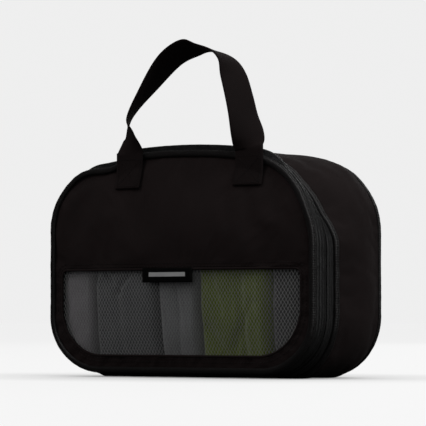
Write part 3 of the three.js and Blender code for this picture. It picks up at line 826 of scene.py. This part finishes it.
def front_rings(rings):
    """Points of the front panel from the window to the rim, as rings, with puckers along the seam."""
    rim = skin(whole_outline(2.6), FRONT_SEAM_Y, PANEL_RIM, PANEL_RIM)
    angle, far = from_window(rim[:, :1], rim[:, 2:])
    near = contour_reach(window_contour(0), angle)
    reach = mix(near, far, np.linspace(0, 1, rings + 1))
    x, z = round_window(angle, reach)
    from_rim = far - reach
    slack = np.minimum(from_rim, reach - near + 2) / 12
    along = arc_length(rim)[:, None]
    waves = PANEL_WAVE * ripple(x, z, 32, 55) * np.clip(slack, 0, 1)
    return x, front.face(x, z) - rim_pucker(along, from_rim, 31) - waves, z


def cloth_front(obj, x, z):
    """The depth of a finished cloth's front face at each x and z."""
    tree = BVHTree.FromPolygons(vertices_of(obj).tolist(), [tuple(p.vertices) for p in obj.data.polygons])
    depths = []
    for px, pz in zip(x, z):
        hit = tree.ray_cast(Vector((px * MM, -1, pz * MM)), Vector((0, 1, 0)))[0]
        depths.append(hit.y / MM if hit else float(front.face(px, pz)))
    return np.array(depths)


def front_panel():
    rings = 16
    x, y, z = front_rings(rings)
    # The ends of the handle are sewn down here, so the cloth stays flat under them.
    sewn = np.zeros(x.shape, bool)
    for _, _, strap_x in HANDLE_FEET:
        sewn |= (np.abs(x - strap_x) < STRAP_WIDTH / 2 + 4) & (z > STRAP_END_Z - 5)
    y = np.where(sewn, np.maximum(y, front.face(x, z) + 0.1), y)
    obj = grid("front_panel_cloth", xyz(x, y, z), range(len(x) + 1), range(rings + 1), loop_u=True,
               facing=forward)
    pinned = sewn.copy()
    pinned[:, [0, 1, -1]] = True
    puff(obj, pinned.ravel(), cap=2.2)
    dress(thicken(cloth_uv(obj), CLOTH), SHELL, "cover", "shell_fabric", "front_panel")
    for number, grow in ((1, 2.0), (2, 4.6)):
        line = window_contour(grow)
        path = xyz(line[:, 0], cloth_front(obj, line[:, 0], line[:, 1]) - 0.05, line[:, 1])
        stitches(f"window_stitches_{number}", path, forward(path), (3.0, 2.3, 0.26, 0.16), THREAD, "cover",
                 "shell_fabric", looped=True)


def window():
    """The rolled edge of the opening, the tape that holds the net on the inside, and the net."""
    edge = window_contour(0.2, 1.6)
    path = on_front(edge[:, 0], edge[:, 1], 0.35)
    ahead = unit(np.roll(path, -1, 0) - np.roll(path, 1, 0))
    across = unit(np.cross(forward(path), ahead))
    rolled = tube("window_edge", path, across, forward(path), 0.95, 8, looped=True)
    dress(rolled, SHELL, "cover", "shell_fabric")

    angle = np.linspace(-math.pi, math.pi, 420, endpoint=False)
    reach = np.stack([contour_reach(window_contour(grow), angle) for grow in np.linspace(0.4, 5.5, 6)], 1)
    points = on_front(*round_window(angle[:, None], reach), 2.5)
    tape = grid("window_tape", points, arc_length(points[:, 0], True), np.linspace(0, 7, 6), loop_u=True,
                facing=forward)
    dress(thicken(tape, TAPE, 0), ZIP_TAPE, "cover", "zip_tape", "window_inner_tape")
    net_threads()


def net_threads():
    """Two crossing families of thin threads, pulled into diamonds that follow the crowned panel."""
    pitch, step, radius, sides = 2.9, 0.65, 0.22, 4
    grow = 4.0  # how far the net runs on behind the edge of the window
    behind = 1.75  # how far it lies behind the panel's face
    lean = 0.62  # the diamonds are a little taller than they are wide
    half, low, high = WINDOW["half"] + grow, WINDOW["low"] - grow, WINDOW["high"] + grow
    contour = window_contour(grow)
    slant = math.hypot(lean, 1)
    diamond = pitch / lean * slant
    turn = np.array([(1, 0, 0), (0, 1, 0), (-1, 0, 0), (0, -1, 0)]) * radius
    reach_x = (high - low) * lean + 2 * half
    points, faces = [], []
    base = 0
    for family in (-1, 1):
        for start in np.arange(-reach_x, reach_x, pitch):
            s = np.arange(0, (high - low) * slant, step)
            x = start + lean * family / slant * s
            z = low + s / slant
            angle, reach = from_window(x, z)
            inside = reach < contour_reach(contour, angle)
            count = inside.sum()
            if count < 4:
                continue
            x, z, s = x[inside], z[inside], s[inside]
            weave = 0.14 * family * np.cos(s * math.tau / (diamond * 0.5))
            pinch = 0.16 * np.sin(s * math.tau / diamond)
            centre = on_front(x, z, behind + weave)
            centre[:, 0] += pinch
            points.append((centre[:, None] + turn[None]).reshape(-1, 3))
            faces += tube_faces(base, count, sides)
            base += count * sides
    obj = make("window_net_threads", np.concatenate(points), faces)
    dress(obj, NET, "cover", "mesh_fabric", "window_net")


def label():
    """A small woven label with folded ends, caught in the top seam of the window."""
    half_x, half_z = LABEL["width"] / 2, (LABEL["high"] - LABEL["low"]) / 2
    cx, cz = LABEL["x"], (LABEL["high"] + LABEL["low"]) / 2
    x = np.linspace(-half_x, half_x, 48)
    z = np.linspace(-half_z, half_z, 14)
    gx, gz = np.meshgrid(x, z, indexing="ij")
    corner = np.minimum(half_x - np.abs(gx), half_z - np.abs(gz))
    curl = 0.25 * ripple(gx, gz, 77, 16) + 0.35 * np.exp(-corner / 0.7)
    points = on_front(gx + cx, gz + cz, curl * 0.5 - 1.25)
    obj = grid("woven_label_cloth", points, x, z, facing=forward)
    dress(thicken(obj, 0.6, 0), LABEL_CLOTH, "cover", "label_cloth", "woven_label")
    for side, sign, _ in HANDLE_FEET:
        line = np.linspace(-half_z + 0.8, half_z - 0.8, 12)
        path = on_front(np.full(12, cx + sign * (half_x - 1.5)), line + cz, -1.35)
        stitches(f"label_stitches_{side}", path, forward(path), (1.9, 1.4, 0.16, 0.12), THREAD, "cover",
                 "label_cloth")


# ---------- zip ----------
def tape(name, y0, y1, coil_side, body, node, seed):
    """Half of the zip: a herringbone tape that dips at its sewn line and turns down at the slit."""
    step = 1.3
    stations = zip_run(step)
    y = np.linspace(y0, y1, 26)
    t = (y - y0) / (y1 - y0)
    if coil_side < 0:
        t = 1 - t  # t is 0 at the slit in both halves
    # Heights across the tape: a rolled edge over the coil, a sewn groove, then a deep groove at the binding.
    off = -0.35 * np.exp(-t / 0.035) + 0.35 * np.exp(-((t - 0.13) / 0.08) ** 2)
    off = off - 0.25 * np.exp(-((t - 0.3) / 0.035) ** 2) - 1.7 * np.exp(-((t - 1) / 0.13) ** 2)
    u = np.arange(len(stations)) * step
    rows = []
    for depth, rise, across in zip(y, off, t):
        wave = 0.18 * ripple(u, depth, seed, 22) + 0.1 * ripple(u, depth, seed + 5, 5)
        rows.append(skin(stations, depth, rise + wave * min(1, 3 * across), TAPE_FLOOR))
    obj = grid(name, np.stack(rows, 1), u, y, facing=outward)
    dress(thicken(obj, TAPE), ZIP_TAPE, body, "zip_tape", node)
    slit_y = y0 if coil_side > 0 else y1
    sewn = skin(stations, slit_y + coil_side * 3.6, -0.15, TAPE_FLOOR)
    stitches(name + "_stitches", sewn, sideways(stations), (2.6, 1.9, 0.17, 0.12), DARK_THREAD, body,
             "zip_tape")


def coil(name, y_middle, body, node, shift):
    """The nylon coil sewn under a tape edge, as one wound wire."""
    pitch, per_turn, sides = 1.45, 9, 5
    half_width, half_height, wire = 1.0, 0.72, 0.27
    stations = zip_run(1.0)
    centre = skin(stations, y_middle, -2.3, -1.3)
    s = arc_length(centre)
    t = np.arange(0, (s[-1] - 2) / pitch * per_turn) / per_turn
    at = 1 + t * pitch
    angle = (t + shift) * math.tau
    normal = read_rows(at, s, sideways(stations))
    across = np.tile([0.0, 1.0, 0.0], (len(t), 1))
    path = (read_rows(at, s, centre) + across * (half_width * np.cos(angle))[:, None]
            + normal * (half_height * np.sin(angle))[:, None])
    ahead = unit(np.gradient(path, axis=0))
    first = unit(np.cross(ahead, normal))
    obj = tube(name, path, first, np.cross(ahead, first), wire, sides, looped=False)
    dress(obj, COIL, body, "zip_coil", node)


def hinge_strip():
    """The fabric hinge along the foot, where the zip stops: one strip between case and cover, on neither
    body.
    """
    step = 1.6
    stations = foot_run(step, GAP)
    y = np.linspace(FRONT_SEAM_Y + BINDING_WIDTH / 2 - SEWN_IN, GUSSET_BINDING_Y + SEWN_IN, 40)
    u = np.arange(len(stations)) * step
    rows = [skin(stations, depth, 0.12 * ripple(u, depth, 51, 14), TAPE_FLOOR) for depth in y]
    obj = grid("foot_hinge", np.stack(rows, 1), u, y, facing=towards(0, 0, -1))
    dress(thicken(obj, TAPE), HINGE, None, "zip_tape", "hinge_strip_front", "hinge_strip_rear")
    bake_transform(obj)


# ---------- handle ----------
def spline(points, count):
    """Centripetal Catmull-Rom through the points, as the CAD draws it."""
    p = np.array(points, float)
    p = np.concatenate([[2 * p[0] - p[1]], p, [2 * p[-1] - p[-2]]])
    segments = len(points) - 1
    out = []
    for k in range(count + 1):
        where = min(k / count * segments, segments - 1e-9)
        i = int(where)
        w = where - i
        a, b, c, d = p[i:i + 4]
        d0, d1, d2 = (max(np.linalg.norm(q - r) ** 0.5, 1e-4) for q, r in ((b, a), (c, b), (d, c)))
        m1 = ((b - a) / d0 - (c - a) / (d0 + d1) + (c - b) / d1) * d1
        m2 = ((c - b) / d1 - (d - b) / (d1 + d2) + (d - c) / d2) * d1
        out.append(b + m1 * w + (-3 * b + 3 * c - 2 * m1 - m2) * w ** 2 + (2 * b - 2 * c + m1 + m2) * w ** 3)
    return np.array(out)


def strap_section(across=16):
    """Across the webbing: w from -1 to 1, and thickness from -1 to 1, with rounded selvedges."""
    w = np.linspace(-1, 1, across)
    fat = 0.55 + 0.45 * np.sqrt(np.clip(1 - np.abs(w) ** 10, 0, 1))
    return np.concatenate([np.stack([w, fat], 1), np.stack([w[::-1], -fat[::-1]], 1)])


def strap_frame():
    """Rings of the loop of the strap, from foot to foot: centre, width direction and face direction."""
    line = spline(HANDLE_LINE, 230)
    top = max(rise for _, rise, _ in HANDLE_LINE)
    centre = xyz(line[:, 0], HANDLE_Y + HANDLE_LEAN * line[:, 1] / top, HANDLE_FOOT_Z + line[:, 1])
    ahead = np.gradient(centre, axis=0)
    ahead[0], ahead[-1] = (0, 0, 1), (0, 0, -1)
    ahead = unit(ahead)
    aside = unit(np.cross(forward(line), ahead))
    turn = np.radians(line[:, 2])[:, None]
    face = forward(line) * np.cos(turn) + aside * np.sin(turn)
    width = unit(np.cross(face, ahead))
    return centre, width, np.cross(ahead, width)


def strap_back(x, z):
    return np.minimum(front.face(x, z) - GAP, HANDLE_Y + STRAP / 2)


def handle():
    section = strap_section()
    centre, width, face = strap_frame()
    w, f = section[:, 0], section[:, 1]
    cupped = 0.5 * (w ** 2 - 0.4)  # the webbing curls a little across its width
    steps = np.arange(len(centre))
    fade = np.clip(np.minimum(steps, steps[::-1]) / 24, 0, 1)
    loop = (centre[:, None] + width[:, None] * (w * STRAP_WIDTH / 2)[None, :, None]
            + face[:, None] * (f * STRAP / 2 + cupped * fade[:, None])[..., None])
    legs = []
    for _, sign, x in HANDLE_FEET:
        z = np.linspace(STRAP_END_Z, STRAP_SEAM_Z, 22)[:, None]
        across = x + sign * w * STRAP_WIDTH / 2
        legs.append(xyz(across, strap_back(across, z) - STRAP / 2 - f * STRAP / 2, z))
    points = np.concatenate([legs[0], loop, legs[1][::-1]])
    obj = grid("handle_webbing", points, arc_length(points[:, 0]),
               arc_length(section * (STRAP_WIDTH / 2, STRAP / 2), True), loop_v=True, caps=True)
    dress(obj, WEBBING, None, "webbing", "handle_loop", "handle_end_left", "handle_end_right")
    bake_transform(obj)
    for side, _, x in HANDLE_FEET:
        box_stitches(x, side)


def box_stitches(x, side):
    """The sewn box with a cross that holds each end of the handle."""
    half_x, low, high = STRAP_WIDTH / 2 - 2.2, STRAP_END_Z + 2, STRAP_SEAM_Z - 3.5
    corners = [(-half_x, low), (half_x, low), (half_x, high), (-half_x, high), (-half_x, low), (half_x, high),
               (half_x, low), (-half_x, high)]
    t = np.linspace(0, 1, 24, endpoint=False)[:, None]
    line = np.concatenate([np.concatenate([mix(x0, x1, t) + x, mix(z0, z1, t)], 1)
                           for (x0, z0), (x1, z1) in zip(corners, corners[1:])])
    points = xyz(line[:, 0], strap_back(line[:, 0], line[:, 1]) - STRAP, line[:, 1])
    stitches(f"handle_stitches_{side}", points, forward(points), (2.6, 2.0, 0.24, 0.16), THREAD, "cover",
             "webbing")


# ---------- packed clothes ----------
# The space for the clothes.
ROOM = dict(left=-116, right=112, low=9, high=124, low_radius=40, high_radius=18, back=35, middle=66)

# Each garment: name, x from and to, layers, darkest and lightest yarn, and its folds, which are lines from
# x, z to x, z with a width and a depth.
GARMENTS = (
    ("light_grey", -116, -83, 1, (0.118, 0.111, 0.118), (0.25, 0.236, 0.25), ()),
    ("charcoal", -82, -20, 1, grey(0.044, -0.03), grey(0.11, -0.03), (
        (-72, 84, -58, 66, 2.6, 3.2), (-40, 86, -58, 66, 2.6, 3.2), (-58, 66, -54, 20, 4, 1.2),
        (-80, 70, -66, 88, 3, -1.6))),
    ("mid_grey", -19, 18, 2, grey(0.10, -0.02), grey(0.25, -0.02), ()),
    ("olive", 19, 82, 2, (0.050, 0.066, 0.008), (0.175, 0.23, 0.035), (
        (30, 88, 40, 50, 3.0, 1.8), (56, 86, 60, 14, 3.5, 2.6), (73, 88, 76, 14, 3.5, -1.4),
        (66, 56, 50, 24, 4, 2.0), (26, 40, 44, 16, 4, 1.6))),
    ("dark_grey", 83, 112, 1, grey(0.030), grey(0.075), ()),
)


def room_limit(z, side):
    """How far out the clothes may reach at a height, on the left (-1) or right (1)."""
    edge = ROOM["right"] if side > 0 else -ROOM["left"]
    r0, r1 = ROOM["low_radius"], ROOM["high_radius"]
    below = np.clip(ROOM["low"] + r0 - z, 0, r0)
    above = np.clip(z - (ROOM["high"] - r1), 0, r1)
    reach = edge - (r0 - np.sqrt(r0 ** 2 - below ** 2)) - (r1 - np.sqrt(r1 ** 2 - above ** 2))
    return side * reach


def crease(x, z, x0, z0, x1, z1, width):
    """A soft groove along a line: 1 on it, fading to 0."""
    along = np.array([x1 - x0, z1 - z0], float)
    t = np.clip(((x - x0) * along[0] + (z - z0) * along[1]) / (along @ along), 0, 1)
    distance = np.hypot(x - x0 - t * along[0], z - z0 - t * along[1])
    return np.exp(-(distance / width) ** 2)


def layer_crown(place, layers, round_part):
    """How round the edge of each layer stands: near 1 at its middle, near 0 where it meets the next one."""
    within = place - np.floor(np.minimum(place, layers - 1e-6))
    return np.sqrt(np.clip(1 - (2 * within - 1) ** 2 * round_part, 0, 1))


def garment(name, x0, x1, layers, dark, light, folds, seed):
    """Clothing folded into layers that stand side by side, their folded edges to the front."""
    behind_panel, layer_depth, corner_depth, corner_width, end_radius = 3.6, 2.6, 8, 6, 7.0
    levels = np.linspace(ROOM["low"] + GAP, ROOM["high"] - GAP, 62)
    a = np.maximum(x0, room_limit(levels, -1))
    b = np.minimum(x1, room_limit(levels, 1))
    keep = b - a > 5
    levels, a, b = levels[keep], a[keep], b[keep]
    wide = max(24, int((x1 - x0) / 0.9))
    share = np.linspace(0, 1, wide)
    x = a[:, None] + (b - a)[:, None] * share[None]
    z = np.repeat(levels[:, None], wide, 1)
    bends = 1.2 * np.sin(levels / 23 + seed)[:, None] + 0.8 * np.sin(levels / 9 + 2 * seed)[:, None]
    place = np.clip((x - x0 + bends * np.sin(share * math.pi)[None]) / (x1 - x0), 0, 1) * layers
    depth = front.face(x, z) + behind_panel + layer_depth * (1 - layer_crown(place, layers, 0.985))
    depth += 0.8 * (1 + ripple(x, z, seed + 11, 30)) + 0.25 * ripple(x * 2.2, z, seed + 12, 8)
    for *line, deep in folds:
        depth += deep * crease(x, z, *line)
    depth += corner_depth * quarter_round(np.minimum(x - a[:, None], b[:, None] - x) / corner_width)
    rings = []
    t = np.linspace(0, 1, 18)[1:-1]
    rear = ROOM["back"]
    for i, level in enumerate(levels):
        sway = 0.8 * np.sin(t * 9 + level / 14 + seed) * np.sin(t * math.pi) * 0.6
        right = xyz(b[i] - 0.9 + sway, mix(depth[i, -1], rear, t), level)
        rear_x = np.linspace(b[i] - 1, a[i] + 1, 12)
        behind = xyz(rear_x, rear + 0.5 * np.cos(rear_x), level)
        left = xyz(a[i] + 0.9 - sway[::-1], mix(rear, depth[i, 0], t), level)
        rings.append(np.concatenate([xyz(x[i], depth[i], level), right, behind, left]))
    points = np.stack(rings)
    tuck = end_radius * quarter_round(np.minimum(levels - levels[0], levels[-1] - levels) / end_radius)
    middle = points.mean(1)
    for axis in (0, 1):
        half = np.ptp(points[..., axis], axis=1) / 2
        scale = np.clip((half - tuck) / half, 0.15, 1)[:, None]
        centre = middle[:, None, axis]
        points[..., axis] = centre + (points[..., axis] - centre) * scale
    points, levels = layered_top(points, levels, seed)
    centre = np.array([(x0 + x1) / 2, 0, ROOM["middle"]])
    around = arc_length(points[len(points) // 3], True)
    obj = grid(f"shirt_{name}", points, levels, around, loop_v=True, caps=True, facing=lambda p: p - centre,
               upright=True)
    cloth = woven(f"{name}_knit", dark, light, knit(1.5), relief=0.22, rough=0.92, sheen=0.35, specular=0.1,
                  dust=0.3, patch=26)
    dress(obj, cloth, "case", f"knit_{name}", f"folded_shirt_{name}")


def layered_top(points, levels, seed):
    """Closes the top of a garment with rings that shrink to its middle and show the edges of its layers."""
    rim = points[-1]
    middle = rim.mean(0)
    left, right = rim[:, 0].min(), rim[:, 0].max()
    layers = max(2, round((right - left) / 8))
    rings, closing, step = 16, 0.97, 1.5
    layer_height = 2.4
    top = []
    for k in range(1, rings + 1):
        ring = rim + (middle - rim) * (k / rings * closing)
        sway = 0.9 * np.sin(ring[:, 1] / 11 + seed)
        place = np.clip((ring[:, 0] + sway - left) / (right - left), 0, 1) * layers
        crown = layer_crown(place, layers, 0.97)
        uneven = 0.5 * np.sin(np.floor(place) * 2.4 + seed)
        ring[:, 2] += min(1, k / 3) * (layer_height * crown - layer_height) + uneven
        top.append(ring)
    reach = levels[-1] + np.arange(1, rings + 1) * step
    return np.concatenate([points, np.stack(top)]), np.concatenate([levels, reach])


# ---------- sliders and pulls: the CAD shapes, with softened edges ----------
def hardware():
    finishes = {"slider": ENAMEL, "pull_link": ENAMEL, "pull_tab": RUBBER}
    for level in ("upper", "lower"):
        for kind, material in finishes.items():
            node = frame["nodes"][f"{kind}_{level}"]
            give_material(node, material)
            node.data.polygons.foreach_set("use_smooth", [True] * len(node.data.polygons))
            fill_in(node.modifiers.new("edges", "BEVEL"), width=0.22 * MM, segments=2, limit_method="ANGLE",
                    angle_limit=math.radians(35), harden_normals=True)


# ---------- floor, light and camera ----------
def floor():
    """A wide pale floor. When the cover swings open below it, the floor sinks out of its way."""
    bpy.ops.mesh.primitive_circle_add(vertices=128, radius=30, fill_type="NGON")
    plane = bpy.context.object
    plane.name = "floor"
    paint = Paint("floor")
    mottle = paint.noise(paint.place(), 900.0, 2.0)
    paint.finish(paint.blend(mottle, grey(0.078), grey(0.083)), 0.9, specular=0.05)
    # The camera sees the floor glow evenly, with a painted contact shadow: the glow darkens close to the
    # case.
    painted_shade = paint.node("ShaderNodeAmbientOcclusion", samples=8)
    paint.put(painted_shade.inputs["Distance"], 0.16)
    # Painted shadow: ambient occlusion dims the floor's glow near the case.
    glow_with_painted_shadow = paint.range(painted_shade.outputs["AO"], 0, 1, 0.25, 0.835)
    seen = paint.node("ShaderNodeLightPath").outputs["Is Camera Ray"]
    glow = paint.node("ShaderNodeEmission")
    paint.put(glow.inputs["Strength"], paint.math("MULTIPLY", seen, glow_with_painted_shadow))
    both = paint.fill("ShaderNodeAddShader", (paint.surface.outputs[0], glow.outputs[0]))
    paint.put(paint.tree.nodes["Material Output"].inputs["Surface"], both)
    plane.data.materials.append(paint.material)
    driver = plane.driver_add("location", 2).driver
    angle = fill_in(driver.variables.new(), name="angle", type="TRANSFORMS")
    fill_in(angle.targets[0], id=frame["bodies"]["cover"], transform_type="ROT_X",
            transform_space="WORLD_SPACE")
    driver.expression = "-0.135 * (1 - cos(angle))"


def world():
    """Even pale light, bright to the camera and faint in glossy threads."""
    scene = bpy.context.scene
    scene.world = bpy.data.worlds.new("studio")
    scene.world.use_nodes = True
    nodes = Nodes(scene.world.node_tree)
    sky = nodes.tree.nodes["Background"]
    path = nodes.node("ShaderNodeLightPath")
    strength = nodes.range(path.outputs["Is Glossy Ray"], 0, 1, 0.42, 0.11)
    strength = nodes.range(path.outputs["Is Camera Ray"], 0, 1, strength, 1.0)
    nodes.put(sky.inputs["Strength"], strength)
    nodes.put(sky.inputs["Color"], (*grey(0.86), 1))
    scene.view_settings.view_transform = "Standard"


def aim(obj, place, target):
    """Puts a lamp or camera at a place, facing a target."""
    obj.location = place
    obj.rotation_euler = (Vector(target) - Vector(place)).to_track_quat("-Z", "Y").to_euler()


def lamp(name, place, size, power, lights=True, reflected=False):
    """A soft box aimed at the case. It lights the cloth, is mirrored in glossy threads, or both."""
    data = fill_in(bpy.data.lights.new(name, "AREA"), energy=power, shape="RECTANGLE")
    data.size, data.size_y = size
    obj = fill_in(add_object(name, data), visible_diffuse=lights, visible_glossy=reflected)
    aim(obj, place, (0, 0, 0.1))


def camera():
    """Level with the foot of the case, 35 degrees round to its right."""
    yaw, away, eye = math.radians(35), 2.3, 0.045
    data = fill_in(bpy.data.cameras.new("camera"), lens=250, clip_start=0.05, clip_end=100)
    obj = add_object("camera", data)
    aim(obj, (math.sin(yaw) * away, -math.cos(yaw) * away, eye), (-0.0005, 0, 0.1275))
    bpy.context.scene.camera = obj


gusset()
binding("gusset_binding", GUSSET_BINDING_Y, "case", "gusset_front_binding", 101)
binding("back_seam_binding", BACK_SEAM_Y - BINDING_WIDTH / 2, "case", "back_binding", 111)
binding("front_seam_binding", FRONT_SEAM_Y - BINDING_WIDTH / 2, "cover", "front_binding", 121)
back_panel()
front_panel()
window()
label()
tape("zip_tape_cover_side", FRONT_SEAM_Y + BINDING_WIDTH / 2 - SEWN_IN, ZIP_Y - SLIT / 2, -1, "cover",
     "zip_tape_front", 61)
tape("zip_tape_case_side", ZIP_Y + SLIT / 2, GUSSET_BINDING_Y + SEWN_IN, 1, "case", "zip_tape_rear", 62)
coil("zip_coil_cover_side", ZIP_Y - 1.75, "cover", "zip_coil_front", 0.0)
coil("zip_coil_case_side", ZIP_Y + 1.75, "case", "zip_coil_rear", 0.5)
hinge_strip()
handle()
for number, row in enumerate(GARMENTS, 1):
    garment(*row, seed=number)
hardware()

floor()
world()
lamp("key", (-1.6, -2.2, 2.6), (1.8, 1.8), 42)
lamp("right_strip", (2.3, 0.1, 2.1), (1.0, 1.8), 36, reflected=True)
lamp("top_back", (0.3, 1.6, 2.6), (1.6, 1.0), 14)
lamp("back", (-0.8, 2.8, 1.2), (1.6, 1.6), 16, reflected=True)
lamp("shoulder_glint", (1.3, -0.6, 2.0), (1.4, 1.4), 32, lights=False, reflected=True)
camera()
